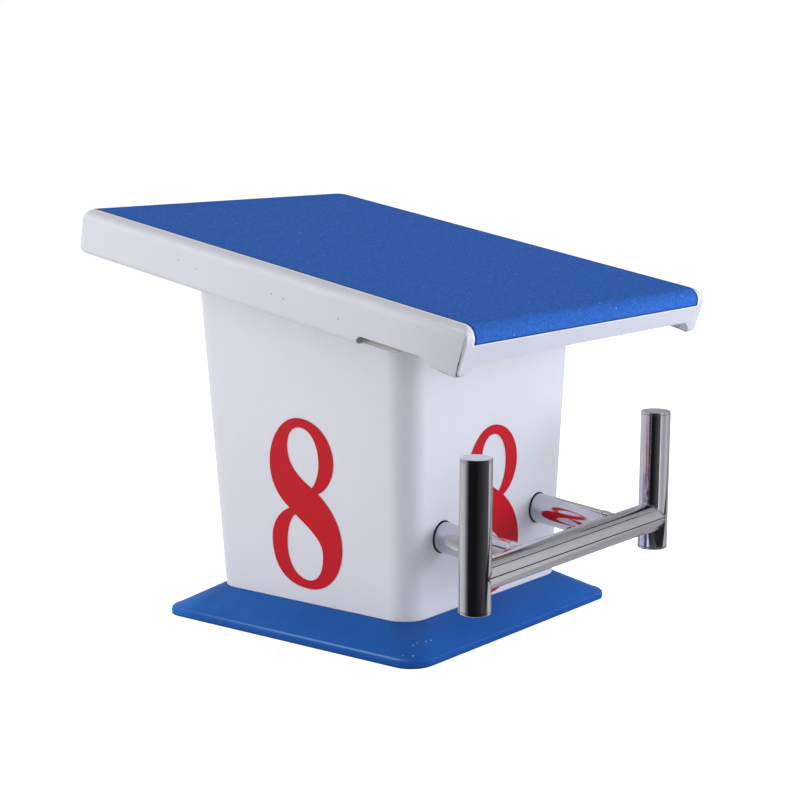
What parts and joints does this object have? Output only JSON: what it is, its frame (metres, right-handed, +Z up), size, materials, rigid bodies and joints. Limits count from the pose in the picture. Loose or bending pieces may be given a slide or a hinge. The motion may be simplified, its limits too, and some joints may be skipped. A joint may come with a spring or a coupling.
{
  "type": "swimming starting block",
  "caption": "Fixed starting block: sloping platform with a non-slip deck on a tapered pedestal and plinth, with a tubular backstroke grip on the pool side.",
  "frame": {"origin": "centre of the plinth's underside, on the pool deck", "axes": "+Z up, -Y towards the pool, +X along the pool's edge to the right as seen from the pool"},
  "size_m": [0.515, 0.6248, 0.5283],
  "materials": {
    "white_gelcoat": "glossy white gel coat on glass-fibre laminate",
    "blue_gelcoat": "semi-gloss blue gel coat",
    "blue_grit": "rough blue non-slip coating with fine quartz grit",
    "raw_laminate": "uncoated glass-fibre laminate",
    "ply_core": "resin-sealed plywood core",
    "polished_steel": "mirror-polished stainless steel",
    "fastener_steel": "plain stainless fasteners",
    "black_rubber": "matt black rubber",
    "red_vinyl": "smooth red adhesive vinyl"
  },
  "bodies": {
    "root": {"platform_shell": "white_gelcoat", "antislip_surface": "blue_grit", "deck_core": "ply_core", "skirt_stiffener_left": "raw_laminate", "skirt_stiffener_right": "raw_laminate", "platform_washer_1": "fastener_steel", "platform_bolt_1": "fastener_steel", "platform_insert_1": "fastener_steel", "platform_washer_2": "fastener_steel", "platform_bolt_2": "fastener_steel", "platform_insert_2": "fastener_steel", "platform_washer_3": "fastener_steel", "platform_bolt_3": "fastener_steel", "platform_insert_3": "fastener_steel", "platform_washer_4": "fastener_steel", "platform_bolt_4": "fastener_steel", "platform_insert_4": "fastener_steel", "platform_washer_5": "fastener_steel", "platform_bolt_5": "fastener_steel", "platform_insert_5": "fastener_steel", "platform_washer_6": "fastener_steel", "platform_bolt_6": "fastener_steel", "platform_insert_6": "fastener_steel", "grip_arm_left": "polished_steel", "arm_seal_left": "black_rubber", "grip_arm_right": "polished_steel", "arm_seal_right": "black_rubber", "grip_upright_left": "polished_steel", "upright_cap_top_left": "polished_steel", "upright_cap_foot_left": "polished_steel", "grip_upright_right": "polished_steel", "upright_cap_top_right": "polished_steel", "upright_cap_foot_right": "polished_steel", "grip_crossbar": "polished_steel", "grip_pad": "ply_core", "grip_backing_plate": "fastener_steel", "grip_washer_1": "fastener_steel", "grip_bolt_1": "fastener_steel", "grip_washer_2": "fastener_steel", "grip_bolt_2": "fastener_steel", "grip_washer_3": "fastener_steel", "grip_bolt_3": "fastener_steel", "grip_washer_4": "fastener_steel", "grip_bolt_4": "fastener_steel", "plinth_skin": "blue_gelcoat", "plinth_core": "ply_core", "pedestal_shell": "white_gelcoat", "pedestal_flange": "raw_laminate", "plinth_washer_1": "fastener_steel", "plinth_bolt_1": "fastener_steel", "plinth_washer_2": "fastener_steel", "plinth_bolt_2": "fastener_steel", "plinth_washer_3": "fastener_steel", "plinth_bolt_3": "fastener_steel", "plinth_washer_4": "fastener_steel", "plinth_bolt_4": "fastener_steel", "lane_number_front": "red_vinyl", "lane_number_left": "red_vinyl", "lane_number_right": "red_vinyl", "lane_number_rear": "red_vinyl"}
  },
  "joints": []
}
